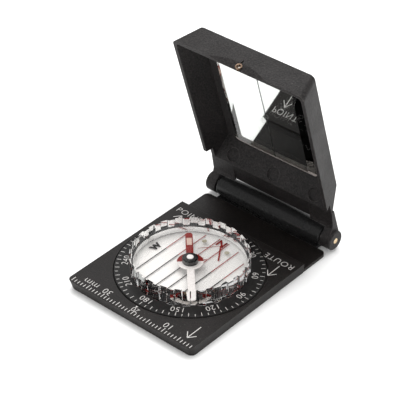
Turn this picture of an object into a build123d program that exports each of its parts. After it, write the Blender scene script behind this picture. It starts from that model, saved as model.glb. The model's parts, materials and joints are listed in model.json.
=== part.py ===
from build123d import *
import os
from math import cos, pi, radians, sin

# Pocket sighting compass: a base plate, a turning dial with a clear capsule and
# a swinging needle, and a hinged lid with a sighting mirror.
# Millimetres. X runs along the hinge, Y towards the hinge, Z up. The origin is
# on the underside of the base plate, on the axis of the dial.

os.makedirs("parts", exist_ok=True)

# ---------------------------------------------------------------- dimensions
running_gap = 0.05           # radial or axial clearance of a part that turns
moving_gap = 0.2             # clearance between bodies that pass each other
rim_gap = 0.1                # closed lid above the plate

# base plate
plate_width = 41.0
plate_front = 23.3           # dial axis to the front edge
plate_back = 20.2            # dial axis to the step down to the hinge deck
plate_thickness = 3.0
plate_side_draft = 0.3
plate_front_draft = 0.9
plate_corner = 1.5
deck_thickness = 0.9
deck_corner = 1.4
deck_inset = 0.1

# hinge
hinge_distance = 32.6        # dial axis to the hinge axis
hinge_height = 3.35
knuckle_radius = 2.7
knuckle_length = 2.8
knuckle_dome = 0.4
barrel_radius_middle = 3.5
barrel_radius_end = 2.7
barrel_end_round = 0.6
pin_radius = 0.75
bush_wall = 0.35
washer_thickness = 0.3
washer_radius = 2.0
foot_thickness = 0.45
foot_lap = 2.0

# dial and its bearing in the plate
dial_land = 3.95             # dial's reach beyond the hole for its spigot
dial_proud = 0.25            # dial above the plate
dial_edge_chamfer = 0.2
pocket_floor = 1.3
friction_ring_thickness = 0.25
friction_ring_inset = 0.85   # in from the dial's edge
friction_ring_width = 1.6
spigot_wall = 0.8
retainer_lap = 1.8           # retainer's reach beyond the spigot
retainer_thickness = 0.35
window_ledge = 0.7           # plate the window bears on, beyond the retainer
window_thickness = 0.35

# capsule
capsule_radius = 15.25
capsule_top = 7.9
capsule_overhang = 0.85      # grip wall beyond the part that sits in the dial
capsule_wall = 0.65          # of the part that sits in the dial
capsule_floor_thickness = 0.6
tooth_count = 24
tooth_depth = 0.45
lens_ledge = 0.55
lens_thickness = 0.8
luminous_dot_radius = 0.65
luminous_dot_thickness = 0.12
luminous_dot_spread = 3.75   # either side of the dial's north
luminous_dot_inset = 3.95    # in from the cavity's wall, towards the pivot
fill_plug_radius = 0.9
fill_plug_inset = 3.25       # in from the cavity's wall

# needle and its pivot
socket_radius = 1.0
socket_height = 0.9          # above the capsule floor
socket_depth = 0.3           # into the capsule floor
pivot_radius = 0.3
pivot_tip_radius = 0.05
pivot_play = 0.03
pivot_cone = 0.8
needle_heading = 43.0        # degrees, anticlockwise from +Y
needle_clearance = 1.95      # needle's tips to the cavity's wall
needle_width = 1.9
needle_thickness = 0.2
needle_level = 3.05
needle_tip_chamfer = 0.5
needle_eye_radius = 3.35
hub_radius = 2.05
hub_bottom = 2.35
hub_top = 5.7
jewel_radius = 0.75
jewel_height = 0.7
jewel_cup_radius = 0.5
jewel_cup_depth = 0.25
cap_radius = 0.88
cap_thickness = 0.4
inset_margin = 2.2           # in from the needle's tip
inset_length = 2.9
inset_width = 1.3
inset_thickness = 0.06

# lid
lid_angle = 73.0             # degrees open from closed, as modelled
lid_length = 53.2            # hinge axis to the outside of the front wall
lid_clearance = 0.24         # mirror above the capsule when closed
lid_wall = 1.0
lid_side_draft = 2.6
lid_front_draft = 0.7
lid_corner = 1.6
lid_back_round = 0.9
heel_rim = 6.2               # hinge axis to the heel slope, at the rim plane
heel_back = 13.5             # hinge axis to the heel slope, at the back
step_distance = 12.1         # hinge axis to the step in the rim
step_height = 1.8
leaf_edge = 3.4              # hinge axis to the free edge of the hinge leaf
leaf_inset = 0.5             # leaf ends inside the lid's side faces
lip_length = 5.1             # where the leaf drops towards the barrel, in from an arm
lip_edge = 3.5
lip_drop = 1.0
recess_radius = 1.9
recess_share = 0.52          # how far up the heel slope the recesses sit
recess_depth = 0.35
recess_spacing = 13.5

# sight in the lid's front wall
scoop_half_width = 9.0
scoop_height = 2.6
sight_hole_radius = 0.55
sight_hole_height = 1.0      # above the rim
sight_slit_width = 0.4
sight_slit_height = 3.1
sight_bush_radius = 0.9
sight_bush_inset = 0.3       # back from the front face
sight_bush_length = 0.9

# mirror
mirror_side_gap = 3.5        # to the lid's inside, at its back
mirror_heel_gap = 0.7
mirror_front_gap = 1.3
mirror_thickness = 1.7
mirror_bevel_width = 1.9
mirror_bevel_depth = 0.9
mirror_corner = 1.2
silver_thickness = 0.06
tape_thickness = 0.1
tape_margin = 1.5

# ------------------------------------------------------------ derived places
rim_height = plate_thickness + rim_gap
deck_end = hinge_distance - knuckle_radius - running_gap * 2
barrel_length = plate_width - 2 * (knuckle_length + washer_thickness + running_gap * 2)
foot_width = barrel_length - 2 * barrel_end_round
deck_width = plate_width - 2 * (plate_side_draft + deck_inset)
capsule_seat = capsule_radius - capsule_overhang
capsule_cavity = capsule_seat - capsule_wall
lens_radius = capsule_cavity + lens_ledge
spigot_radius = capsule_seat + spigot_wall
hole_radius = spigot_radius + running_gap * 2
dial_radius = hole_radius + dial_land
dial_top = plate_thickness + dial_proud
pocket_radius = dial_radius + moving_gap
friction_ring_radius = dial_radius - friction_ring_inset
friction_top = pocket_floor + friction_ring_thickness
dial_bottom = friction_top + running_gap
retainer_radius = spigot_radius + retainer_lap
retainer_space = retainer_radius + moving_gap
window_radius = retainer_space + window_ledge
retainer_bottom = window_thickness + running_gap
retainer_top = retainer_bottom + retainer_thickness
recess_ceiling = retainer_top + running_gap
capsule_bottom = window_thickness + running_gap * 2
capsule_floor = capsule_bottom + capsule_floor_thickness
luminous_dot_place = capsule_cavity - luminous_dot_inset
fill_plug_place = capsule_cavity - fill_plug_inset
needle_reach = capsule_cavity - needle_clearance
inset_end = needle_reach - inset_margin
pivot_height = hub_top - jewel_height + jewel_cup_depth - pivot_play
lens_bottom = capsule_top - lens_thickness
knuckle_inner = barrel_length / 2 + washer_thickness + running_gap * 2
knuckle_outer = knuckle_inner + knuckle_length
bush_radius = pin_radius + running_gap + bush_wall
lid_rim = rim_height - hinge_height          # rim plane above the hinge axis
mirror_stack = mirror_thickness + silver_thickness + tape_thickness
lid_depth = capsule_top + lid_clearance + mirror_stack + lid_wall - rim_height
lid_back = lid_rim + lid_depth
lid_back_width = plate_width - 2 * lid_side_draft
back_inside = lid_back - lid_wall
inner_end = lid_length - lid_front_draft - lid_wall
leaf_bottom = lid_rim + step_height
leaf_top = leaf_bottom + lid_wall
leaf_end = heel_rim + (heel_back - heel_rim) * (step_height + lid_wall) / lid_depth
arm_length = plate_width / 2 - leaf_inset - knuckle_inner
lip_start = knuckle_inner - lip_length
heel_inside_back = heel_back + lid_wall / 2
heel_run = heel_inside_back - heel_rim - lid_wall
heel_rise = back_inside - lid_rim
recess_distance = heel_rim + lid_wall + heel_run * recess_share
recess_height = lid_rim + heel_rise * recess_share
sight_height = lid_rim + sight_hole_height
slit_top = lid_rim + sight_slit_height
glass_back = back_inside - tape_thickness - silver_thickness
glass_front = glass_back - mirror_thickness
mirror_width = lid_back_width - 2 * (lid_wall + mirror_side_gap)
mirror_start = heel_inside_back + mirror_heel_gap
mirror_end = inner_end - mirror_front_gap

hinge_line = Axis((0, hinge_distance, hinge_height), (1, 0, 0))
tilt = radians(lid_angle)
# Lid frame: origin on the hinge axis, X along it, -Y towards the lid's front
# wall, Z from the rim to the back of the lid.
lid_plane = Plane(
    origin=(0, hinge_distance, hinge_height), x_dir=(1, 0, 0), z_dir=(0, sin(tilt), cos(tilt))
)
# Section planes square to the hinge: sketch X is the lid's -Y, sketch Y its Z.
lid_section = Plane(
    origin=lid_plane.origin, x_dir=-lid_plane.y_dir, z_dir=-lid_plane.x_dir
)
lid_up = Axis(lid_plane.origin, lid_plane.z_dir)
front_plane = Plane(
    origin=lid_plane.from_local_coords(Vector(0, -lid_length, 0)),
    x_dir=(1, 0, 0),
    z_dir=-lid_plane.y_dir,
)
heel_plane = Plane(
    origin=lid_plane.from_local_coords(Vector(0, -recess_distance, recess_height)),
    x_dir=(1, 0, 0),
    z_dir=lid_plane.y_dir * heel_rise + lid_plane.z_dir * heel_run,
)
hinge_section = Plane(origin=(0, hinge_distance, hinge_height), x_dir=(1, 0, 0), z_dir=(0, -1, 0))
across_hinge = Plane(origin=hinge_section.origin, x_dir=(0, -1, 0), z_dir=(1, 0, 0))
needle_plane = Plane(
    origin=(0, 0, needle_level),
    x_dir=(cos(radians(needle_heading)), sin(radians(needle_heading)), 0),
    z_dir=(0, 0, 1),
)


def save(piece, name):
    """Label a finished piece and write it as its own STEP file."""
    piece.part.label = name
    export_step(piece.part, f"parts/{name}.step")


# ------------------------------------------------------------------ the base
with BuildPart() as base_plate:
    with BuildSketch(Plane.XY) as plate_underside:
        underside_front = plate_front - plate_front_draft
        with Locations((0, (plate_back - underside_front) / 2)):
            Rectangle(plate_width - 2 * plate_side_draft, plate_back + underside_front)
        fillet(plate_underside.vertices().group_by(Axis.Y)[0], plate_corner)
    with BuildSketch(Plane.XY.offset(plate_thickness)) as plate_face:
        with Locations((0, (plate_back - plate_front) / 2)):
            Rectangle(plate_width, plate_back + plate_front)
        fillet(plate_face.vertices().group_by(Axis.Y)[0], plate_corner)
    loft(ruled=True)
    # thin deck that carries the hinge
    with BuildSketch(Plane.XY) as deck:
        with Locations((0, deck_end / 2)):
            Rectangle(deck_width, deck_end)
        fillet(deck.vertices().group_by(Axis.Y)[-1], deck_corner)
    extrude(amount=deck_thickness)
    # pocket for the dial, hole for its spigot and recess for the retainer
    with BuildSketch(Plane.XY.offset(pocket_floor)):
        Circle(pocket_radius)
    extrude(amount=plate_thickness, mode=Mode.SUBTRACT)
    with BuildSketch(Plane.XY):
        Circle(hole_radius)
    extrude(amount=plate_thickness, mode=Mode.SUBTRACT)
    with BuildSketch(Plane.XY):
        Circle(retainer_space)
    extrude(amount=recess_ceiling, mode=Mode.SUBTRACT)
    with BuildSketch(Plane.XY):
        Circle(window_radius)
    extrude(amount=window_thickness, mode=Mode.SUBTRACT)
    # rebate under the deck for the foot of the hinge barrel
    with BuildSketch(Plane.XY):
        with Locations((0, deck_end - foot_lap / 2)):
            Rectangle(foot_width, foot_lap)
    extrude(amount=foot_thickness, mode=Mode.SUBTRACT)
save(base_plate, "base_plate")

with BuildPart() as hinge_barrel:
    with BuildSketch(hinge_section) as barrel_profile:
        with BuildLine():
            half = barrel_length / 2
            ThreePointArc((-half, barrel_radius_end), (0, barrel_radius_middle), (half, barrel_radius_end))
            Polyline((half, barrel_radius_end), (half, 0), (-half, 0), (-half, barrel_radius_end))
        make_face()
        fillet(barrel_profile.vertices().group_by(Axis.Y)[-1], barrel_end_round)
    revolve(axis=hinge_line)
    # room for the deck's back edge
    with BuildSketch(Plane.XY):
        with Locations((0, deck_end - barrel_radius_middle)):
            Rectangle(plate_width, 2 * barrel_radius_middle)
    extrude(amount=deck_thickness, mode=Mode.SUBTRACT)
    # foot that laps under the deck
    with BuildSketch(Plane.XY):
        with Locations((0, hinge_distance - (hinge_distance - deck_end + foot_lap) / 2)):
            Rectangle(foot_width, hinge_distance - deck_end + foot_lap)
    extrude(amount=foot_thickness)
    with BuildSketch(Plane.XY):
        with Locations((0, (hinge_distance + deck_end) / 2)):
            Rectangle(foot_width, hinge_distance - deck_end)
    extrude(amount=deck_thickness)
    # flat underside, and the bore for the pin
    split(bisect_by=Plane.XY, keep=Keep.TOP)
    with BuildSketch(across_hinge):
        Circle(pin_radius)
    extrude(amount=barrel_length, both=True, mode=Mode.SUBTRACT)
save(hinge_barrel, "hinge_barrel")


with BuildPart() as hinge_pin:
    with BuildSketch(across_hinge):
        Circle(pin_radius)
    extrude(amount=knuckle_outer + knuckle_dome, both=True)
save(hinge_pin, "hinge_pin")

with BuildPart() as friction_washers:
    for side in (-1, 1):
        washer_start = side * barrel_length / 2
        with BuildSketch(across_hinge.offset(washer_start)):
            Circle(washer_radius)
            Circle(pin_radius + running_gap, mode=Mode.SUBTRACT)
        extrude(amount=side * washer_thickness)
save(friction_washers, "friction_washers")

with BuildPart() as dial_friction_ring:
    with BuildSketch(Plane.XY.offset(pocket_floor)):
        Circle(friction_ring_radius)
        Circle(friction_ring_radius - friction_ring_width, mode=Mode.SUBTRACT)
    extrude(amount=friction_ring_thickness)
save(dial_friction_ring, "dial_friction_ring")

with BuildPart() as underside_window:
    with BuildSketch(Plane.XY):
        Circle(window_radius)
    extrude(amount=window_thickness)
save(underside_window, "underside_window")

# ------------------------------------------------------------------ the dial
with BuildPart() as dial_ring:
    with BuildSketch(Plane.XY.offset(dial_bottom)):
        Circle(dial_radius)
    extrude(amount=dial_top - dial_bottom)
    chamfer(dial_ring.edges().group_by(Axis.Z)[-1], dial_edge_chamfer)
    with BuildSketch(Plane.XY.offset(retainer_top)):
        Circle(spigot_radius)
    extrude(amount=dial_bottom - retainer_top)
    with BuildSketch(Plane.XY):
        Circle(capsule_seat)
    extrude(amount=dial_top, mode=Mode.SUBTRACT)
save(dial_ring, "dial_ring")

with BuildPart() as dial_retainer:
    with BuildSketch(Plane.XY.offset(retainer_bottom)):
        Circle(retainer_radius)
        Circle(capsule_seat, mode=Mode.SUBTRACT)
    extrude(amount=retainer_thickness)
save(dial_retainer, "dial_retainer")

# --------------------------------------------------------------- the capsule
with BuildPart() as capsule_body:
    with BuildSketch(Plane.XY.offset(capsule_bottom)):
        Circle(capsule_seat)
    extrude(amount=dial_top - capsule_bottom)
    with BuildSketch(Plane.XY.offset(dial_top)):
        Circle(capsule_radius)
    extrude(amount=capsule_top - dial_top)
    with BuildSketch(Plane.XY.offset(capsule_floor)):
        Circle(capsule_cavity)
    extrude(amount=capsule_top, mode=Mode.SUBTRACT)
    with BuildSketch(Plane.XY.offset(lens_bottom)):
        Circle(lens_radius)
    extrude(amount=lens_thickness, mode=Mode.SUBTRACT)
    # grip teeth round the wall
    tooth_pitch = 360 / tooth_count
    with BuildSketch(Plane.XY.offset(dial_top)):
        with BuildLine():
            tooth_floor = capsule_radius - tooth_depth
            tooth_reach = capsule_radius + tooth_depth
            CenterArc((0, 0), tooth_floor, -tooth_pitch / 4, tooth_pitch / 2)
            CenterArc((0, 0), tooth_reach, -tooth_pitch / 4, tooth_pitch / 2)
            for turn in (-tooth_pitch / 4, tooth_pitch / 4):
                across = (cos(radians(turn)), sin(radians(turn)))
                Line(
                    (tooth_floor * across[0], tooth_floor * across[1]),
                    (tooth_reach * across[0], tooth_reach * across[1]),
                )
        make_face()
    gap_cutter = extrude(amount=capsule_top - dial_top, mode=Mode.PRIVATE)
    with PolarLocations(0, tooth_count):
        add(gap_cutter, mode=Mode.SUBTRACT)
    # filling hole and the hole for the pivot socket
    with BuildSketch(Plane.XY.offset(capsule_bottom)):
        with Locations((0, -fill_plug_place)):
            Circle(fill_plug_radius)
    extrude(amount=capsule_floor_thickness, mode=Mode.SUBTRACT)
    with BuildSketch(Plane.XY.offset(capsule_floor - socket_depth)):
        Circle(socket_radius)
    extrude(amount=socket_depth, mode=Mode.SUBTRACT)
save(capsule_body, "capsule_body")

with BuildPart() as capsule_lens:
    with BuildSketch(Plane.XY.offset(lens_bottom)):
        Circle(lens_radius)
    extrude(amount=lens_thickness)
    chamfer(capsule_lens.edges().group_by(Axis.Z)[-1], lens_thickness / 5)
save(capsule_lens, "capsule_lens")

with BuildPart() as fill_plug:
    with BuildSketch(Plane.XY.offset(capsule_bottom)):
        with Locations((0, -fill_plug_place)):
            Circle(fill_plug_radius)
    extrude(amount=capsule_floor_thickness)
save(fill_plug, "capsule_fill_plug")

with BuildPart() as luminous_dots:
    with BuildSketch(Plane.XY.offset(capsule_floor)):
        dots = [(side * luminous_dot_spread, luminous_dot_place) for side in (-1, 1)]
        with Locations(*dots):
            Circle(luminous_dot_radius)
    extrude(amount=luminous_dot_thickness)
save(luminous_dots, "luminous_dots")

with BuildPart() as pivot_socket:
    with BuildSketch(Plane.XY.offset(capsule_floor - socket_depth)):
        Circle(socket_radius)
        Circle(pivot_radius, mode=Mode.SUBTRACT)
    extrude(amount=socket_depth + socket_height)
    chamfer(pivot_socket.edges().group_by(Axis.Z)[-1].sort_by(SortBy.RADIUS)[-1], socket_radius / 3)
save(pivot_socket, "pivot_socket")

with BuildPart() as pivot_pin:
    with BuildSketch(Plane.XZ):
        with BuildLine():
            Polyline(
                (0, capsule_floor - socket_depth),
                (pivot_radius, capsule_floor - socket_depth),
                (pivot_radius, pivot_height - pivot_cone),
                (pivot_tip_radius, pivot_height),
                (0, pivot_height),
                close=True,
            )
        make_face()
    revolve(axis=Axis.Z)
save(pivot_pin, "pivot_pin")

# ---------------------------------------------------------------- the needle
with BuildPart() as needle_blade:
    with BuildSketch(needle_plane) as blade_outline:
        Rectangle(needle_width, needle_reach * 2)
        chamfer(blade_outline.vertices(), needle_tip_chamfer)
        Circle(needle_eye_radius)
        Circle(hub_radius, mode=Mode.SUBTRACT)
    extrude(amount=needle_thickness)
save(needle_blade, "needle_blade")

with BuildPart() as needle_inset:
    with BuildSketch(needle_plane.offset(needle_thickness)):
        with Locations((0, inset_end - inset_length / 2)):
            Rectangle(inset_width, inset_length)
    extrude(amount=inset_thickness)
save(needle_inset, "needle_luminous_inset")

with BuildPart() as needle_hub:
    with BuildSketch(Plane.XY.offset(hub_bottom)):
        Circle(hub_radius)
        Circle(jewel_radius, mode=Mode.SUBTRACT)
    extrude(amount=hub_top - hub_bottom)
    chamfer(needle_hub.edges().group_by(Axis.Z)[-1].sort_by(SortBy.RADIUS)[-1], hub_radius / 6)
save(needle_hub, "needle_hub")

with BuildPart() as jewel:
    with BuildSketch(Plane.XY.offset(hub_top - jewel_height)):
        Circle(jewel_radius)
    extrude(amount=jewel_height)
    with BuildSketch(Plane.XZ):
        with BuildLine():
            Polyline(
                (0, hub_top - jewel_height),
                (jewel_cup_radius, hub_top - jewel_height),
                (0, hub_top - jewel_height + jewel_cup_depth),
                close=True,
            )
        make_face()
    revolve(axis=Axis.Z, mode=Mode.SUBTRACT)
save(jewel, "jewel_bearing")

with BuildPart() as hub_cap:
    with BuildSketch(Plane.XY.offset(hub_top)):
        Circle(cap_radius)
    extrude(amount=cap_thickness)
    fillet(hub_cap.edges().group_by(Axis.Z)[-1], cap_thickness / 2)
save(hub_cap, "needle_hub_cap")

# ------------------------------------------------------------------- the lid
def lid_rectangle(width, start, end):
    """A rectangle in a lid-plane sketch, from one hinge distance to another."""
    with Locations((0, -(start + end) / 2)):
        Rectangle(width, end - start)


with BuildPart() as lid_shell:
    # outside: a shallow tray whose sides and heel slope in towards the back
    with BuildSketch(lid_plane.offset(lid_rim)) as rim_outline:
        lid_rectangle(plate_width, heel_rim, lid_length)
        fillet(rim_outline.vertices().group_by(Axis.Y)[0], lid_corner)
    with BuildSketch(lid_plane.offset(lid_back)) as back_outline:
        lid_rectangle(lid_back_width, heel_back, lid_length - lid_front_draft)
        fillet(back_outline.vertices().group_by(Axis.Y)[0], lid_corner)
    loft(ruled=True)
    fillet(lid_shell.faces().sort_by(lid_up)[-1].edges(), lid_back_round)
    # inside of the tray
    with BuildSketch(lid_plane.offset(lid_rim)) as rim_inside:
        lid_rectangle(plate_width - 2 * lid_wall, heel_rim + lid_wall, lid_length - lid_wall)
        fillet(rim_inside.vertices().group_by(Axis.Y)[0], lid_corner - lid_wall / 2)
    with BuildSketch(lid_plane.offset(back_inside)) as back_inner:
        lid_rectangle(lid_back_width - 2 * lid_wall, heel_inside_back, inner_end)
        fillet(back_inner.vertices().group_by(Axis.Y)[0], lid_corner - lid_wall / 2)
    loft(ruled=True, mode=Mode.SUBTRACT)
    # the rim steps back near the hinge
    with BuildSketch(lid_plane.offset(lid_rim)):
        lid_rectangle(plate_width * 2, 0, step_distance)
    extrude(amount=step_height, mode=Mode.SUBTRACT)
    # leaf that joins the heel to the hinge
    with BuildSketch(lid_plane.offset(leaf_bottom)):
        lid_rectangle(plate_width - 2 * leaf_inset, leaf_edge, leaf_end)
    extrude(amount=lid_wall)
    for side in (-1, 1):
        # lip towards the barrel
        with BuildSketch(lid_section.offset(side * lip_start)):
            with BuildLine():
                Polyline(
                    (lip_edge, leaf_bottom - lip_drop),
                    (leaf_edge + lid_wall, leaf_bottom - lip_drop / 2),
                    (leaf_end, leaf_bottom),
                    (leaf_end, leaf_top),
                    (leaf_edge, leaf_top),
                    close=True,
                )
            make_face()
        extrude(amount=side * (knuckle_inner - lip_start))
        # arm and knuckle
        with BuildSketch(lid_section.offset(side * knuckle_inner)):
            Circle(knuckle_radius)
            with BuildLine():
                Polyline(
                    (0, knuckle_radius),
                    (leaf_end, leaf_top),
                    (leaf_end, leaf_bottom),
                    (leaf_edge + lid_wall, leaf_bottom - lip_drop / 2),
                    (lip_edge, leaf_bottom - lip_drop),
                    (knuckle_radius * sin(pi / 4), -knuckle_radius * cos(pi / 4)),
                    (0, 0),
                    close=True,
                )
            make_face()
        extrude(amount=side * arm_length)
        with BuildSketch(lid_section.offset(side * knuckle_inner)):
            Circle(knuckle_radius)
        extrude(amount=side * (knuckle_length + knuckle_dome))
    outer_discs = lid_shell.faces().filter_by(Plane.YZ).sort_by(Axis.X)
    fillet(outer_discs[0].edges() + outer_discs[-1].edges(), knuckle_dome)
    # bores for the bushes and the pin
    for side in (-1, 1):
        with BuildSketch(lid_section.offset(side * knuckle_inner)):
            Circle(bush_radius)
        extrude(amount=side * arm_length, mode=Mode.SUBTRACT)
    with BuildSketch(lid_section):
        Circle(pin_radius + running_gap)
    extrude(amount=plate_width, both=True, mode=Mode.SUBTRACT)
    # shallow round recesses inside the heel
    with BuildSketch(heel_plane):
        with Locations((-recess_spacing, 0), (0, 0), (recess_spacing, 0)):
            Circle(recess_radius)
    extrude(amount=recess_depth, mode=Mode.SUBTRACT)
    # thumb scoop in the front wall, sloping from the outer face to the inner rim edge
    with BuildSketch(front_plane):
        with BuildLine():
            ThreePointArc(
                (-scoop_half_width, lid_rim),
                (0, lid_rim + scoop_height),
                (scoop_half_width, lid_rim),
            )
            Polyline(
                (scoop_half_width, lid_rim),
                (scoop_half_width, lid_rim - scoop_height),
                (-scoop_half_width, lid_rim - scoop_height),
                (-scoop_half_width, lid_rim),
            )
        make_face()
    scoop_path = lid_plane.y_dir * lid_wall - lid_plane.z_dir * scoop_height
    extrude(amount=scoop_path.length, dir=scoop_path.normalized(), mode=Mode.SUBTRACT)
    # sight hole with its bush seat, and the slit above it
    with BuildSketch(front_plane):
        with Locations((0, sight_height)):
            Circle(sight_bush_radius)
    extrude(amount=-2 * lid_wall, mode=Mode.SUBTRACT)
    with BuildSketch(front_plane):
        with Locations((0, (sight_height + slit_top) / 2)):
            Rectangle(sight_slit_width, slit_top - sight_height)
    extrude(amount=-2 * lid_wall, mode=Mode.SUBTRACT)
save(lid_shell, "lid_shell")

with BuildPart() as sight_bush:
    with BuildSketch(front_plane.offset(-sight_bush_inset)):
        with Locations((0, sight_height)):
            Circle(sight_bush_radius)
            Circle(sight_hole_radius, mode=Mode.SUBTRACT)
    extrude(amount=-sight_bush_length)
save(sight_bush, "sight_bush")

with BuildPart() as hinge_bushes:
    for side in (-1, 1):
        with BuildSketch(lid_section.offset(side * knuckle_inner)):
            Circle(bush_radius)
            Circle(pin_radius + running_gap, mode=Mode.SUBTRACT)
        extrude(amount=side * arm_length)
save(hinge_bushes, "hinge_bushes")

# ---------------------------------------------------------------- the mirror
with BuildPart() as mirror_glass:
    with BuildSketch(lid_plane.offset(glass_back)) as glass_outline:
        lid_rectangle(mirror_width, mirror_start, mirror_end)
        fillet(glass_outline.vertices(), mirror_corner)
    extrude(amount=-(mirror_thickness - mirror_bevel_depth))
    with BuildSketch(lid_plane.offset(glass_front + mirror_bevel_depth)) as bevel_back:
        lid_rectangle(mirror_width, mirror_start, mirror_end)
        fillet(bevel_back.vertices(), mirror_corner)
    with BuildSketch(lid_plane.offset(glass_front)) as bevel_front:
        lid_rectangle(
            mirror_width - 2 * mirror_bevel_width,
            mirror_start + mirror_bevel_width,
            mirror_end - mirror_bevel_width,
        )
        fillet(bevel_front.vertices(), mirror_corner)
    loft(ruled=True)
save(mirror_glass, "mirror_glass")

with BuildPart() as mirror_silver:
    with BuildSketch(lid_plane.offset(glass_back)) as silver_outline:
        lid_rectangle(mirror_width, mirror_start, mirror_end)
        fillet(silver_outline.vertices(), mirror_corner)
    extrude(amount=silver_thickness)
save(mirror_silver, "mirror_silver")

with BuildPart() as mirror_tape:
    with BuildSketch(lid_plane.offset(glass_back + silver_thickness)):
        lid_rectangle(
            mirror_width - 2 * tape_margin, mirror_start + tape_margin, mirror_end - tape_margin
        )
    extrude(amount=tape_thickness)
save(mirror_tape, "mirror_tape")
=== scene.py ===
import json
import math

import bmesh
import bpy
from mathutils import Matrix, Vector


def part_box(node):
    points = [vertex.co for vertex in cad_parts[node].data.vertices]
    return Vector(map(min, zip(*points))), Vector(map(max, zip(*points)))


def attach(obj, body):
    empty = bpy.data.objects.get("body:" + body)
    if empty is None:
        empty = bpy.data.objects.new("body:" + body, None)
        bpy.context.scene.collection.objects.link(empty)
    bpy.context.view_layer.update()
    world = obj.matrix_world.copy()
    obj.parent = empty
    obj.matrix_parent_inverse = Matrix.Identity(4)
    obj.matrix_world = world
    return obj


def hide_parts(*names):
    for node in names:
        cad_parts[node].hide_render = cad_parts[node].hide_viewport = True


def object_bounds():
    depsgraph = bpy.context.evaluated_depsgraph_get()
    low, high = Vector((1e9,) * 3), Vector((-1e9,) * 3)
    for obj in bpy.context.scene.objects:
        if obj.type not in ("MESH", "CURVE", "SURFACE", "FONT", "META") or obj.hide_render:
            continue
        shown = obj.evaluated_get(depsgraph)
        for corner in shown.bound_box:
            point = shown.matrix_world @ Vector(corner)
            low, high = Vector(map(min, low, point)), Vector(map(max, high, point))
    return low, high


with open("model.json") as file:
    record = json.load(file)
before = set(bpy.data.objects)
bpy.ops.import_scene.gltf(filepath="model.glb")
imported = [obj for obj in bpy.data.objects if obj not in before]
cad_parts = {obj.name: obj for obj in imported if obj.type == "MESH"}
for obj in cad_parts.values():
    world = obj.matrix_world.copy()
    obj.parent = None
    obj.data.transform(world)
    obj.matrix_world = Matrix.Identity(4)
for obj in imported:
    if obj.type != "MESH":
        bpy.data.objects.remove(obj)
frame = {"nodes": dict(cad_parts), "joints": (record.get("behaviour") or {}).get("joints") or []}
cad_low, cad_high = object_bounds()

# Looks of a pocket sighting compass. The solids stand in metres with X along the
# hinge, Y towards the hinge and Z up; marks are laid out here in millimetres.
MM = 0.001
INK_DEPTH = 0.012            # how far printed ink stands proud
INK_SINK = 0.006             # how far it reaches into the surface

nodes = frame["nodes"]
hinge = [j for j in frame["joints"] if j["name"] == "lid_hinge"][0]
hinge_place = Vector(hinge["pos_m"]) / MM
lid_angle = math.radians(-hinge["range_deg"][0])

plate_low, plate_high = (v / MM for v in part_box("base_plate"))
dial_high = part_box("dial_ring")[1] / MM
capsule_low, capsule_high = (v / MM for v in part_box("capsule_body"))
needle_heading = math.radians(43)


# ------------------------------------------------------------------- placing
def flat_at(height):
    """Frame of a level surface at this height."""
    return Matrix.Translation((0, 0, height * MM)) @ Matrix.Scale(MM, 4)


plate_face = flat_at(plate_high.z)
dial_face = flat_at(dial_high.z)
# The floor of the capsule is printed underneath, to be read from above.
floor_face = flat_at(capsule_low.z - 0.012)
# Lid frame: origin on the hinge, X along it, -Y to the lid's front, Z to its back.
lid_frame = (
    Matrix.Translation(hinge_place * MM)
    @ Matrix.Rotation(-lid_angle, 4, "X")
    @ Matrix.Scale(MM, 4)
)


def lid_box(node):
    """Lowest and highest corner of a solid, measured in the lid frame."""
    into_lid = lid_frame.inverted()
    corners = [into_lid @ v.co for v in nodes[node].data.vertices]
    low = Vector(min(c[i] for c in corners) for i in range(3))
    high = Vector(max(c[i] for c in corners) for i in range(3))
    return low, high


# -------------------------------------------------------------- shader pieces
class Wiring:
    """A node tree with short calls for adding and joining nodes."""

    def __init__(self, tree):
        self.tree = tree
        tree.nodes.clear()

    def add(self, kind, inputs=None, **settings):
        node = self.tree.nodes.new("ShaderNode" + kind)
        for key, value in settings.items():
            setattr(node, key, value)
        for key, value in (inputs or {}).items():
            if isinstance(value, bpy.types.NodeSocket):
                self.tree.links.new(value, node.inputs[key])
            else:
                node.inputs[key].default_value = value
        return node

    def math(self, operation, first, second=0.0):
        return self.add("Math", {0: first, 1: second}, operation=operation).outputs[0]

    def spread(self, value, low, high, to_low=0.0, to_high=1.0):
        ends = {0: value, 1: low, 2: high, 3: to_low, 4: to_high}
        return self.add("MapRange", ends, clamp=True).outputs[0]

    def noise(self, where, scale, detail=2.0, roughness=0.5):
        ends = {"Vector": where, "Scale": scale, "Detail": detail, "Roughness": roughness}
        return self.add("TexNoise", ends).outputs["Fac"]

    def mix(self, share, first, second):
        node = self.tree.nodes.new("ShaderNodeMix")
        node.data_type = "RGBA"
        for key, value in ((0, share), (6, first), (7, second)):
            if isinstance(value, bpy.types.NodeSocket):
                self.tree.links.new(value, node.inputs[key])
            elif key == 0:
                node.inputs[key].default_value = value
            else:
                node.inputs[key].default_value = (*value, 1.0)
        return node.outputs[2]


def shader_group(name, inputs, outputs):
    """An empty group with number inputs and outputs, and its wiring."""
    tree = bpy.data.node_groups.new(name, "ShaderNodeTree")
    wiring = Wiring(tree)
    for label, value in inputs.items():
        socket = tree.interface.new_socket(label, in_out="INPUT", socket_type="NodeSocketFloat")
        socket.default_value = value
    for label in outputs:
        tree.interface.new_socket(label, in_out="OUTPUT", socket_type="NodeSocketFloat")
    source = tree.nodes.new("NodeGroupInput")
    sink = tree.nodes.new("NodeGroupOutput")
    return tree, wiring, source.outputs, sink.inputs


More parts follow.
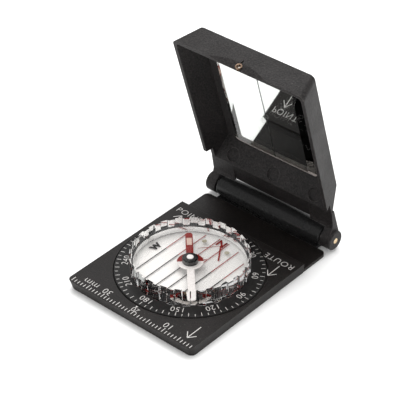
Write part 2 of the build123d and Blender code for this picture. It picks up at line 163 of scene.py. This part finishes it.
def moulded_grain():
    """Fine spark-eroded texture of a moulding tool, with a slow drift in tone."""
    tree, w, given, out = shader_group(
        "moulded_grain", {"Grain Size": 0.2, "Pitting": 0.5}, ("Height", "Tone")
    )
    where = w.add("TexCoord").outputs["Object"]
    scale = w.math("DIVIDE", 1 / MM, given["Grain Size"])
    fine = w.noise(where, scale, 3.0, 0.6)
    cells = w.add("TexVoronoi", {"Vector": where, "Scale": scale}).outputs["Distance"]
    pits = w.math("MULTIPLY", cells, given["Pitting"])
    w.tree.links.new(w.math("SUBTRACT", fine, pits), out["Height"])
    slow = w.noise(where, 90.0, 3.0)
    fleck = w.math("MULTIPLY", w.spread(fine, 0.35, 0.7), 0.85)
    tone = w.math("ADD", fleck, w.math("MULTIPLY", w.spread(slow, 0.35, 0.65), 0.15))
    w.tree.links.new(tone, out["Tone"])
    return tree


def edge_wear():
    """Edges rubbed lighter by a pocket: 1 on a worn edge, 0 elsewhere."""
    tree, w, given, out = shader_group(
        "edge_wear", {"Width": 0.25, "Breakup": 1.0}, ("Mask",)
    )
    radius = w.math("MULTIPLY", given["Width"], MM)
    rounded = w.add("Bevel", {"Radius": radius}, samples=6).outputs["Normal"]
    flat = w.add("NewGeometry").outputs["Normal"]
    turn = w.add("VectorMath", {0: rounded, 1: flat}, operation="DOT_PRODUCT").outputs["Value"]
    edge = w.spread(turn, 0.995, 0.86)
    where = w.add("TexCoord").outputs["Object"]
    scale = w.math("DIVIDE", 1 / MM, given["Breakup"])
    rubbed = w.spread(w.noise(where, scale, 4.0, 0.65), 0.38, 0.62)
    w.tree.links.new(w.math("MULTIPLY", edge, rubbed), out["Mask"])
    return tree


def handling():
    """Finger smears and hairline scuffs, for roughness and a trace of colour."""
    tree, w, given, out = shader_group(
        "handling", {"Smear Size": 6.0}, ("Smear", "Scuffs")
    )
    where = w.add("TexCoord").outputs["Object"]
    scale = w.math("DIVIDE", 1 / MM, given["Smear Size"])
    w.tree.links.new(w.spread(w.noise(where, scale, 4.0, 0.6), 0.4, 0.65), out["Smear"])
    stretch = w.add(
        "Mapping", {"Vector": where, "Rotation": (0.3, 0.5, 0.7), "Scale": (260.0, 3600.0, 2200.0)}
    ).outputs["Vector"]
    w.tree.links.new(w.spread(w.noise(stretch, 1.0, 1.0), 0.72, 0.78), out["Scuffs"])
    return tree


def settled_dust():
    """Dust specks on faces that look up."""
    tree, w, given, out = shader_group("settled_dust", {"Amount": 0.2}, ("Mask",))
    where = w.add("TexCoord").outputs["Object"]
    normal = w.add("NewGeometry").outputs["Normal"]
    up = w.add("SeparateXYZ", {0: normal}).outputs["Z"]
    facing = w.spread(up, 0.2, 0.9)
    specks = w.spread(w.noise(where, 2600.0, 2.0, 0.7), 0.66, 0.78)
    cloud = w.spread(w.noise(where, 160.0, 3.0), 0.4, 0.7)
    dust = w.math("MULTIPLY", w.math("MULTIPLY", specks, cloud), facing)
    w.tree.links.new(w.math("MULTIPLY", dust, given["Amount"]), out["Mask"])
    return tree


def ink_breakup():
    """Pad-printed ink that thins and speckles a little."""
    tree, w, given, out = shader_group("ink_breakup", {"Thinness": 0.3}, ("Wear", "Height"))
    where = w.add("TexCoord").outputs["Object"]
    fine = w.noise(where, 7000.0, 3.0, 0.6)
    w.tree.links.new(w.math("MULTIPLY", w.spread(fine, 0.55, 0.7), given["Thinness"]), out["Wear"])
    w.tree.links.new(fine, out["Height"])
    return tree


def turned_metal():
    """Fine tool rings round the hinge's or the dial's axis."""
    tree, w, given, out = shader_group("turned_metal", {"Pitch": 0.05}, ("Height", "Tarnish"))
    where = w.add("TexCoord").outputs["Object"]
    scale = w.math("DIVIDE", 1 / MM, given["Pitch"])
    w.tree.links.new(w.noise(where, scale, 2.0), out["Height"])
    w.tree.links.new(w.spread(w.noise(where, 900.0, 4.0), 0.35, 0.7), out["Tarnish"])
    return tree


GRAIN, WEAR, HANDLING = moulded_grain(), edge_wear(), handling()
DUST, INK, TURNED = settled_dust(), ink_breakup(), turned_metal()


def start_material(name):
    """A material with a Principled shader joined to its output."""
    material = bpy.data.materials.new(name)
    material.use_nodes = True
    w = Wiring(material.node_tree)
    skin = w.add("BsdfPrincipled")
    out = w.add("OutputMaterial", {"Surface": skin.outputs[0]})
    return material, w, skin, out


def placed(w, tree, **values):
    """One of the shader groups, put into a material with its own values."""
    node = w.tree.nodes.new("ShaderNodeGroup")
    node.node_tree = tree
    for label, value in values.items():
        node.inputs[label.replace("_", " ")].default_value = value
    return node.outputs


def bumped(w, skin, height, depth, under=None):
    """Feeds a height, in millimetres of depth, to the shader's normal."""
    ends = {"Height": height, "Distance": depth * MM, "Strength": 1.0}
    if under is not None:
        ends["Normal"] = under
    bump = w.add("Bump", ends)
    w.tree.links.new(bump.outputs[0], skin.inputs["Normal"])


def moulding(name, deep, light, worn, rough, grain, depth, wear, dust, soften):
    """Black moulded plastic with grain, rubbed edges, smears and dust.

    Grain, its depth, the width of wear and the softening of edges are in millimetres.
    """
    material, w, skin, out = start_material(name)
    skin.inputs["Specular IOR Level"].default_value = 0.24
    texture = placed(w, GRAIN, Grain_Size=grain, Pitting=0.5)
    rubbed = placed(w, WEAR, Width=wear, Breakup=1.6)
    hands = placed(w, HANDLING, Smear_Size=7.0)
    specks = placed(w, DUST, Amount=dust)
    tone = w.mix(texture["Tone"], deep, light)
    tone = w.mix(rubbed["Mask"], tone, worn)
    tone = w.mix(specks["Mask"], tone, (0.42, 0.4, 0.37))
    w.tree.links.new(tone, skin.inputs["Base Color"])
    sheen = w.spread(hands["Smear"], 0.0, 1.0, rough, rough - 0.08)
    sheen = w.math("ADD", sheen, w.math("MULTIPLY", hands["Scuffs"], 0.12))
    w.tree.links.new(sheen, skin.inputs["Roughness"])
    eased = w.add("Bevel", {"Radius": soften * MM}, samples=6).outputs["Normal"]
    bumped(w, skin, texture["Height"], depth, eased)
    return material


def ink(name, colour, under):
    """Printed ink, thinning to the colour under it."""
    material, w, skin, out = start_material(name)
    broken = placed(w, INK, Thinness=0.35)
    w.tree.links.new(w.mix(broken["Wear"], colour, under), skin.inputs["Base Color"])
    skin.inputs["Roughness"].default_value = 0.5
    bumped(w, skin, broken["Height"], 0.004)
    return material


def clear(name, tint, ior, rough, scuffs):
    """Clear plastic or glass. Light that only crosses it on the way to a lamp isn't bent."""
    material, w, skin, out = start_material(name)
    hands = placed(w, HANDLING, Smear_Size=5.0)
    skin.inputs["Base Color"].default_value = (*tint, 1.0)
    skin.inputs["Transmission Weight"].default_value = 1.0
    skin.inputs["IOR"].default_value = ior
    used = w.math("MULTIPLY", hands["Scuffs"], scuffs)
    w.tree.links.new(w.math("ADD", used, rough), skin.inputs["Roughness"])
    through = w.add("BsdfTransparent", {"Color": (*tint, 1.0)})
    path = w.add("LightPath")
    share = w.math("MAXIMUM", path.outputs["Is Shadow Ray"], path.outputs["Is Diffuse Ray"])
    both = w.add("MixShader", {0: share, 1: skin.outputs[0], 2: through.outputs[0]})
    w.tree.links.new(both.outputs[0], out.inputs["Surface"])
    return material


def metal(name, bright, dull, rough, pitch):
    """Turned or rolled metal that has tarnished a little."""
    material, w, skin, out = start_material(name)
    rings = placed(w, TURNED, Pitch=pitch)
    w.tree.links.new(w.mix(rings["Tarnish"], bright, dull), skin.inputs["Base Color"])
    skin.inputs["Metallic"].default_value = 1.0
    sheen = w.spread(rings["Tarnish"], 0.0, 1.0, rough, rough + 0.15)
    w.tree.links.new(sheen, skin.inputs["Roughness"])
    bumped(w, skin, rings["Height"], 0.004)
    return material


def enamel(name, light, dark, rough, coat, grain=0.4, depth=0.003):
    """Smooth painted or glossy surface with a faint orange-peel."""
    material, w, skin, out = start_material(name)
    texture = placed(w, GRAIN, Grain_Size=grain, Pitting=0.1)
    w.tree.links.new(w.mix(texture["Tone"], dark, light), skin.inputs["Base Color"])
    skin.inputs["Roughness"].default_value = rough
    skin.inputs["Coat Weight"].default_value = coat
    bumped(w, skin, texture["Height"], depth)
    return material


def needle_paint():
    """Red on the half that seeks north, white on the other."""
    material, w, skin, out = start_material("needle_paint")
    where = w.add("TexCoord").outputs["Object"]
    along = (-math.sin(needle_heading), math.cos(needle_heading), 0.0)
    reach = w.add("VectorMath", {0: where, 1: along}, operation="DOT_PRODUCT").outputs["Value"]
    north = w.spread(reach, -0.1 * MM, 0.1 * MM)
    texture = placed(w, GRAIN, Grain_Size=0.5, Pitting=0.1)
    red = w.mix(texture["Tone"], (0.17, 0.006, 0.004), (0.25, 0.01, 0.006))
    white = w.mix(texture["Tone"], (0.66, 0.62, 0.6), (0.8, 0.77, 0.75))
    w.tree.links.new(w.mix(north, white, red), skin.inputs["Base Color"])
    skin.inputs["Roughness"].default_value = 0.4
    skin.inputs["Specular IOR Level"].default_value = 0.15
    bumped(w, skin, texture["Height"], 0.003)
    return material


def silvering():
    """Back of the mirror, bright with the faintest haze."""
    material, w, skin, out = start_material("silvering")
    hands = placed(w, HANDLING, Smear_Size=9.0)
    haze = w.mix(hands["Smear"], (0.93, 0.93, 0.93), (0.9, 0.9, 0.905))
    w.tree.links.new(haze, skin.inputs["Base Color"])
    skin.inputs["Metallic"].default_value = 1.0
    skin.inputs["Roughness"].default_value = 0.015
    return material


BLACK = (0.003, 0.0026, 0.0026)
lid_black = moulding(
    "lid_black_moulding", BLACK, (0.03, 0.026, 0.0255), (0.07, 0.063, 0.061),
    rough=0.58, grain=0.42, depth=0.08, wear=0.3, dust=0.25, soften=0.18,
)
plate_black = moulding(
    "plate_black_moulding", BLACK, (0.016, 0.012, 0.011), (0.05, 0.045, 0.042),
    rough=0.5, grain=0.34, depth=0.03, wear=0.22, dust=0.3, soften=0.14,
)
dial_black = moulding(
    "dial_black_moulding", BLACK, (0.008, 0.007, 0.007), (0.04, 0.036, 0.034),
    rough=0.4, grain=0.2, depth=0.008, wear=0.15, dust=0.3, soften=0.1,
)
barrel_black = moulding(
    "barrel_satin_black", (0.008, 0.008, 0.008), (0.018, 0.018, 0.018), (0.022, 0.022, 0.022),
    rough=0.28, grain=0.3, depth=0.004, wear=0.2, dust=0.05, soften=0.15,
)
white_ink = ink("white_ink", (0.62, 0.6, 0.58), (0.18, 0.17, 0.16))
black_ink = ink("black_ink", (0.008, 0.007, 0.007), (0.08, 0.075, 0.07))
red_ink = ink("red_ink", (0.3, 0.008, 0.006), (0.5, 0.15, 0.12))
capsule_clear = clear("capsule_acrylic", (0.995, 0.99, 0.985), 1.36, 0.01, 0.08)
window_clear = clear("window_acrylic", (1.0, 0.995, 0.99), 1.49, 0.01, 0.05)
mirror_clear = clear("mirror_float_glass", (0.97, 0.985, 0.97), 1.52, 0.0, 0.02)
ground_glass = enamel("ground_bevel", (0.62, 0.56, 0.52), (0.24, 0.21, 0.2), 0.4, 0.2, 0.35, 0.05)
jewel_red = clear("jewel_ruby", (0.75, 0.12, 0.16), 1.76, 0.02, 0.0)
brass = metal("turned_brass", (0.72, 0.56, 0.36), (0.5, 0.36, 0.2), 0.25, 0.06)
darkened_brass = metal("darkened_brass", (0.2, 0.14, 0.1), (0.1, 0.07, 0.05), 0.4, 0.06)
steel = metal("bright_steel", (0.62, 0.62, 0.63), (0.42, 0.42, 0.43), 0.2, 0.04)
seal_rubber = enamel("seal_rubber", (0.03, 0.03, 0.03), (0.012, 0.012, 0.012), 0.75, 0.0)
glow_paint = enamel("luminous_paint", (0.5, 0.46, 0.36), (0.36, 0.33, 0.25), 0.6, 0.0, 0.25, 0.02)
glow_strip = enamel("luminous_strip", (0.66, 0.48, 0.4), (0.52, 0.36, 0.3), 0.55, 0.0)
hub_black = enamel("hub_gloss_black", (0.008, 0.007, 0.007), (0.004, 0.004, 0.004), 0.25, 0.1)
cap_white = enamel("cap_white", (0.86, 0.84, 0.82), (0.78, 0.76, 0.73), 0.3, 0.5)
foam = enamel("foam_tape", (0.03, 0.03, 0.03), (0.012, 0.012, 0.012), 0.8, 0.0)
finishes = {
    "base_plate": plate_black,
    "underside_window": window_clear,
    "dial_retainer": plate_black,
    "hinge_barrel": barrel_black,
    "dial_ring": dial_black,
    "lid_shell": lid_black,
    "hinge_pin": brass,
    "hinge_bushes": brass,
    "sight_bush": darkened_brass,
    "pivot_socket": brass,
    "friction_washers": steel,
    "pivot_pin": steel,
    "dial_friction_ring": seal_rubber,
    "capsule_body": capsule_clear,
    "capsule_lens": capsule_clear,
    "capsule_fill_plug": capsule_clear,
    "luminous_dots": glow_paint,
    "needle_blade": needle_paint(),
    "needle_luminous_inset": glow_strip,
    "needle_hub": hub_black,
    "needle_hub_cap": cap_white,
    "jewel_bearing": jewel_red,
    "mirror_glass": mirror_clear,
    "mirror_silver": silvering(),
    "mirror_tape": foam,
}
for node, material in finishes.items():
    for place in nodes[node].material_slots:
        place.material = material


# ------------------------------------------------------------- printed marks
def prism(marks, face, outline):
    """A thin closed slab of ink with this outline, on a surface."""
    bottom = [marks.verts.new(face @ Vector((x, y, -INK_SINK))) for x, y in outline]
    top = [marks.verts.new(face @ Vector((x, y, INK_DEPTH))) for x, y in outline]
    count = len(outline)
    marks.faces.new(top)
    marks.faces.new(bottom[::-1])
    for i in range(count):
        j = (i + 1) % count
        marks.faces.new((bottom[i], bottom[j], top[j], top[i]))


def bar(marks, face, start, end, width):
    """A straight printed stroke."""
    start, end = Vector(start), Vector(end)
    side = (end - start).normalized()
    side = Vector((-side.y, side.x)) * width / 2
    corners = (start - side, end - side, end + side, start + side)
    prism(marks, face, corners)


def lettering(marks, face, words, height, centre, up, spacing=1.0, thin=0.0):
    """Words of this capital height, centred on a point, with their tops towards up."""
    curve = bpy.data.curves.new("lettering", "FONT")
    curve.body = words
    curve.align_x = "CENTER"
    curve.space_character = spacing
    curve.offset = thin
    curve.resolution_u = 4
    shape = bpy.data.objects.new("lettering", curve)
    bpy.context.scene.collection.objects.link(shape)
    bpy.context.view_layer.update()
    flat = bpy.data.meshes.new_from_object(shape)
    low = min(v.co.y for v in flat.vertices)
    high = max(v.co.y for v in flat.vertices)
    middle = (min(v.co.x for v in flat.vertices) + max(v.co.x for v in flat.vertices)) / 2
    scale = height / (high - low)
    up = Vector(up).normalized()
    across = Vector((up.y, -up.x))
    letters = bmesh.new()
    letters.from_mesh(flat)
    bmesh.ops.remove_doubles(letters, verts=letters.verts, dist=1e-5)
    raised = bmesh.ops.extrude_face_region(letters, geom=letters.faces[:])
    lifted = {v for v in raised["geom"] if isinstance(v, bmesh.types.BMVert)}
    for v in letters.verts:
        spot = Vector(centre) + across * (v.co.x - middle) * scale
        spot += up * (v.co.y - (low + high) / 2) * scale
        v.co = face @ Vector((spot.x, spot.y, INK_DEPTH if v in lifted else -INK_SINK))
    bmesh.ops.recalc_face_normals(letters, faces=letters.faces)
    done = bpy.data.meshes.new("lettering")
    letters.to_mesh(done)
    letters.free()
    marks.from_mesh(done)
    bpy.data.objects.remove(shape)


def piece(name, shape, body, material):
    """Turns a finished shape into a named piece that rides on a body."""
    bmesh.ops.recalc_face_normals(shape, faces=shape.faces)
    mesh = bpy.data.meshes.new(name)
    shape.to_mesh(mesh)
    shape.free()
    made = bpy.data.objects.new(name, mesh)
    bpy.context.scene.collection.objects.link(made)
    mesh.materials.append(material)
    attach(made, body)
    return made


def arrow(marks, face, tail, tip):
    """An open arrow: a shaft and two barbs."""
    tail, tip = Vector(tail), Vector(tip)
    bar(marks, face, tail, tip, ARROW_STROKE)
    back = (tail - tip).normalized() * ARROW_BARB
    for turn in (-ARROW_SPLAY, ARROW_SPLAY):
        spin = math.radians(turn)
        leg = Vector(
            (
                back.x * math.cos(spin) - back.y * math.sin(spin),
                back.x * math.sin(spin) + back.y * math.cos(spin),
            )
        )
        bar(marks, face, tip, tip + leg, ARROW_STROKE)


ARROW_BARB, ARROW_SPLAY, ARROW_STROKE = 2.3, 38, 0.2
FIGURE_SPACING, FIGURE_THIN = 1.05, -0.014

# Ruler along the plate's front edge, counting from the right-hand end.
RULER_ZERO = plate_high.x + 0.2
RULER_OUTER = plate_low.y + 0.5
RULER_LONG, RULER_SHORT, RULER_STROKE = 1.55, 1.05, 0.17
RULER_MARGIN = 0.25          # bare plate beyond the last graduation
ruler = bmesh.new()
for step in range(41):
    x = RULER_ZERO - step
    if abs(x) > plate_high.x - RULER_MARGIN:
        continue
    reach = RULER_LONG if step % 5 == 0 else RULER_SHORT
    bar(ruler, plate_face, (x, RULER_OUTER), (x, RULER_OUTER + reach), RULER_STROKE)
piece("ruler_ticks", ruler, "base", white_ink)

figures = bmesh.new()
FIGURES = (                  # what it says, its place and its height
    ("10", 10.5, -20.2, 1.8),
    ("20", 0.6, -20.95, 1.5),
    ("30", -9.3, -20.35, 1.8),
    ("mm", -14.7, -20.2, 1.3),
)
for words, x, y, height in FIGURES:
    lettering(figures, plate_face, words, height, (x, y), (0, -1), FIGURE_SPACING, FIGURE_THIN)
piece("ruler_figures", figures, "base", white_ink)

arrows = bmesh.new()
arrow(arrows, plate_face, (16.3, 15.4), (16.4, 10.6))
arrow(arrows, plate_face, (16.9, -15.3), (16.9, -20.4))
arrow(arrows, plate_face, (-16.3, 11.0), (-16.3, 15.3))
piece("plate_arrows", arrows, "base", white_ink)

words = bmesh.new()
WORD_HEIGHT, WORD_SPACING, WORD_THIN = 1.8, 1.1, -0.016
for text, x, up in (("ROUTE", 14.9, -1), ("POINT", -14.9, 1)):
    lettering(words, plate_face, text, WORD_HEIGHT, (x, 16.9), (0, up), WORD_SPACING, WORD_THIN)
piece("plate_words", words, "base", white_ink)

index = bmesh.new()
prism(index, plate_face, [(-0.3, -19.6), (0.3, -19.6), (0.08, -20.15), (-0.08, -20.15)][::-1])
piece("reading_index", index, "base", white_ink)

# Dial: a tick every five degrees and a figure every thirty, clockwise from +Y.
TICK_OUTER, TICK_LONG, TICK_SHORT, TICK_STROKE = 18.9, 1.15, 0.75, 0.13
FIGURE_RADIUS, FIGURE_HEIGHT = 16.55, 1.65
ticks = bmesh.new()
for degrees in range(0, 360, 5):
    turn = math.radians(degrees)
    out = Vector((math.sin(turn), math.cos(turn)))
    length = TICK_LONG if degrees % 10 == 0 else TICK_SHORT
    bar(ticks, dial_face, out * (TICK_OUTER - length), out * TICK_OUTER, TICK_STROKE)
piece("dial_ticks", ticks, "dial", white_ink)

numerals = bmesh.new()
for degrees in range(0, 360, 30):
    turn = math.radians(degrees)
    out = Vector((math.sin(turn), math.cos(turn)))
    place = out * FIGURE_RADIUS
    text = str(degrees)
    lettering(numerals, dial_face, text, FIGURE_HEIGHT, place, out, FIGURE_SPACING, FIGURE_THIN)
piece("dial_figures", numerals, "dial", white_ink)

# Floor card: north-south lines, the four letters and the orienting arrow.
FLOOR_RADIUS = 13.5
COLOUR_CHANGE = 1.6          # north of this the lines are red
BLACK_LINE, RED_LINE = 0.28, 0.24
black_lines, red_lines = bmesh.new(), bmesh.new()
for x in (-9.5, -5.4, -1.55, 1.55, 5.45, 9.5):
    end = math.sqrt(FLOOR_RADIUS**2 - x**2)
    bar(black_lines, floor_face, (x, -end), (x, COLOUR_CHANGE), BLACK_LINE)
    bar(red_lines, floor_face, (x, COLOUR_CHANGE), (x, end), RED_LINE)
piece("card_lines_south", black_lines, "dial", black_ink)
piece("card_lines_north", red_lines, "dial", red_ink)

orienting = bmesh.new()
for leg, width in (((-3.4, 6.8), 0.16), ((3.9, 6.3), 0.4)):
    bar(orienting, floor_face, (0.4, 11.3), leg, width)
for x in (-1.0, 0.0, 1.0):
    bar(orienting, floor_face, (x - 0.25, 4.0), (x + 0.3, 4.8), 0.28)
piece("orienting_arrow", orienting, "dial", red_ink)

north = bmesh.new()
lettering(north, floor_face, "N", 2.4, (0, 12.1), (0, 1), 1.0, 0.03)
piece("card_north_letter", north, "dial", red_ink)
letters = bmesh.new()
lettering(letters, floor_face, "W", 2.1, (-12.0, 0.4), (-1, 0), 1.0, 0.055)
lettering(letters, floor_face, "E", 2.1, (11.6, 0.6), (1, 0), 1.0, 0.055)
lettering(letters, floor_face, "S", 1.6, (0.1, -11.6), (0, -1), 1.0, 0.02)
piece("card_letters", letters, "dial", black_ink)

# Capsule, full of clear fluid: one clear body with grip teeth round its wall.
TEETH = 24
TOOTH_DEPTH = 0.45
TOOTH_EASE = 0.1             # rounding of a tooth's upright edges
TOP_EASE = 0.18              # chamfer round the top


def capsule_outline(inset):
    """The toothed outline, in millimetres, drawn in by an inset."""
    outer = capsule_high.x - inset
    inner = outer - TOOTH_DEPTH
    pitch = math.tau / TEETH
    edge = TOOTH_EASE / outer
    points = []
    for tooth in range(TEETH):
        middle = (tooth + 0.5) * pitch
        stations = (
            (-pitch / 4 - edge * 2, inner),
            (-pitch / 4, inner + TOOTH_EASE),
            (-pitch / 4, outer - TOOTH_EASE),
            (-pitch / 4 + edge, outer),
            (-pitch / 12, outer),
            (pitch / 12, outer),
            (pitch / 4 - edge, outer),
            (pitch / 4, outer - TOOTH_EASE),
            (pitch / 4, inner + TOOTH_EASE),
            (pitch / 4 + edge * 2, inner),
            (pitch / 2, inner),
        )
        for turn, radius in stations:
            spin = middle + turn
            points.append((radius * math.cos(spin), radius * math.sin(spin)))
    return points


def round_outline(radius):
    """As many points as the toothed outline has, on a circle."""
    turns = [math.atan2(y, x) for x, y in capsule_outline(0)]
    return [(radius * math.cos(t), radius * math.sin(t)) for t in turns]


capsule = bmesh.new()
SEAT_RADIUS = 14.36
rings = [
    (round_outline(SEAT_RADIUS), capsule_low.z),
    (round_outline(SEAT_RADIUS), dial_high.z + 0.01),
    (capsule_outline(0.05), dial_high.z + 0.02),
    (capsule_outline(0.0), dial_high.z + 0.1),
    (capsule_outline(0.0), capsule_high.z - TOP_EASE),
    (capsule_outline(TOP_EASE), capsule_high.z),
]
levels = [[capsule.verts.new((x * MM, y * MM, z * MM)) for x, y in ring] for ring, z in rings]
for lower, upper in zip(levels, levels[1:]):
    for i in range(len(lower)):
        j = (i + 1) % len(lower)
        capsule.faces.new((lower[i], lower[j], upper[j], upper[i]))
capsule.faces.new(levels[0][::-1])
capsule.faces.new(levels[-1])
filled = piece("filled_capsule", capsule, "dial", capsule_clear)
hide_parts("capsule_body", "capsule_lens", "capsule_fill_plug")

# Mirror glass with ground bevels, a hair's breadth off its silvering.
BEVEL_WIDTH, BEVEL_DEPTH = 1.9, 0.9
SILVER_GAP = 0.02
glass_low, glass_high = lid_box("mirror_glass")


def rounded_rectangle(low, high, inset, radius, steps=5):
    """Corner-rounded rectangle between two corners, drawn in by an inset."""
    points = []
    corners = ((high.x, high.y, 0), (low.x, high.y, 90), (low.x, low.y, 180), (high.x, low.y, 270))
    for x, y, start in corners:
        side_x = 1 if x > 0 else -1
        side_y = 1 if y == high.y else -1
        cx = x - side_x * (inset + radius)
        cy = y - side_y * (inset + radius)
        for step in range(steps + 1):
            spin = math.radians(start + 90 * step / steps)
            points.append((cx + radius * math.cos(spin), cy + radius * math.sin(spin)))
    return points


glass = bmesh.new()
rings = [
    (rounded_rectangle(glass_low, glass_high, 0, 1.2), glass_high.z - SILVER_GAP),
    (rounded_rectangle(glass_low, glass_high, 0, 1.2), glass_low.z + BEVEL_DEPTH),
    (rounded_rectangle(glass_low, glass_high, BEVEL_WIDTH, 0.6), glass_low.z),
]
levels = [[glass.verts.new(lid_frame @ Vector((x, y, z))) for x, y in ring] for ring, z in rings]
for lower, upper in zip(levels, levels[1:]):
    for i in range(len(lower)):
        j = (i + 1) % len(lower)
        glass.faces.new((lower[i], lower[j], upper[j], upper[i]))
glass.faces.new(levels[0][::-1])
glass.faces.new(levels[-1])
pane = piece("mirror_pane", glass, "lid", mirror_clear)
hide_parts("mirror_glass")
# The bevel along the lower edge is ground, not polished.
pane.data.materials.append(ground_glass)
into_lid = lid_frame.inverted()
for face in pane.data.polygons:
    centre = into_lid @ face.center
    sloped = glass_low.z + 0.05 < centre.z < glass_low.z + BEVEL_DEPTH
    if sloped and centre.y > glass_high.y - BEVEL_WIDTH:
        face.material_index = 1

# Sighting line down the middle of the mirror, scribed on its silvering.
LINE_WIDTH, LINE_MARGIN = 0.42, 0.3
line = bmesh.new()
turned = Matrix.Rotation(math.pi, 4, "Y")
silver_face = lid_frame @ Matrix.Translation((0, 0, glass_high.z)) @ turned
ends = [(0, glass_low.y + LINE_MARGIN), (0, glass_high.y - LINE_MARGIN)]
bar(line, silver_face, *ends, LINE_WIDTH)
piece("sighting_line", line, "lid", black_ink)

# ---------------------------------------------------------- floor and lights
floor_mesh = bpy.data.meshes.new("floor")
half = 3.0
floor_mesh.from_pydata(
    [(-half, -half, 0), (half, -half, 0), (half, half, 0), (-half, half, 0)], [], [(0, 1, 2, 3)]
)
floor = bpy.data.objects.new("floor", floor_mesh)
floor.location.z = cad_low.z - 0.02 * MM
bpy.context.scene.collection.objects.link(floor)
floor_paint, w, skin, out = start_material("floor_white")
skin.inputs["Base Color"].default_value = (0.96, 0.96, 0.955, 1)
skin.inputs["Roughness"].default_value = 0.8
floor_mesh.materials.append(floor_paint)

world = bpy.data.worlds.new("studio")
bpy.context.scene.world = world
world.use_nodes = True
# Surroundings are white, and dimmer where they show as a reflection.
w = Wiring(world.node_tree)
path = w.add("LightPath")
REFLECTED_SHARE = 0.7
strength = w.spread(path.outputs["Is Glossy Ray"], 0.0, 1.0, 1.0, REFLECTED_SHARE)
sky = w.add("Background", {"Color": (1, 1, 1, 1), "Strength": strength})
w.add("OutputWorld", {"Surface": sky.outputs[0]})


def softbox(name, place, aim, size, power):
    """A square soft light pointed at a place."""
    lamp = bpy.data.lights.new(name, "AREA")
    lamp.shape = "RECTANGLE"
    lamp.size, lamp.size_y = size
    lamp.energy = power
    holder = bpy.data.objects.new(name, lamp)
    holder.location = place
    holder.visible_transmission = False
    holder.rotation_euler = (Vector(aim) - Vector(place)).to_track_quat("-Z", "Y").to_euler()
    bpy.context.scene.collection.objects.link(holder)


middle = (cad_low + cad_high) / 2
softbox("overhead_softbox", (-0.2, 0.25, 0.9), middle, (0.8, 0.8), 7.0)

# -------------------------------------------------------------------- camera
AZIMUTH, ELEVATION = math.radians(40.974), math.radians(36.099)
DISTANCE = 429.242 * MM
LENS_SHARE = 1704.05 / 400   # focal length over frame width
SENSOR = 36.0
aim = Vector((-5.735, 10.337, 15.860)) * MM
back = Vector(
    (
        math.sin(AZIMUTH) * math.cos(ELEVATION),
        -math.cos(AZIMUTH) * math.cos(ELEVATION),
        math.sin(ELEVATION),
    )
)
camera = bpy.data.objects.new("camera", bpy.data.cameras.new("camera"))
camera.data.sensor_width = SENSOR
camera.data.lens = SENSOR * LENS_SHARE
camera.data.clip_start, camera.data.clip_end = 0.01, 20
camera.location = aim + back * DISTANCE
camera.rotation_mode = "QUATERNION"
camera.rotation_quaternion = (-back).to_track_quat("-Z", "Y")
bpy.context.scene.collection.objects.link(camera)
bpy.context.scene.camera = camera
bpy.context.scene.view_settings.view_transform = "Standard"
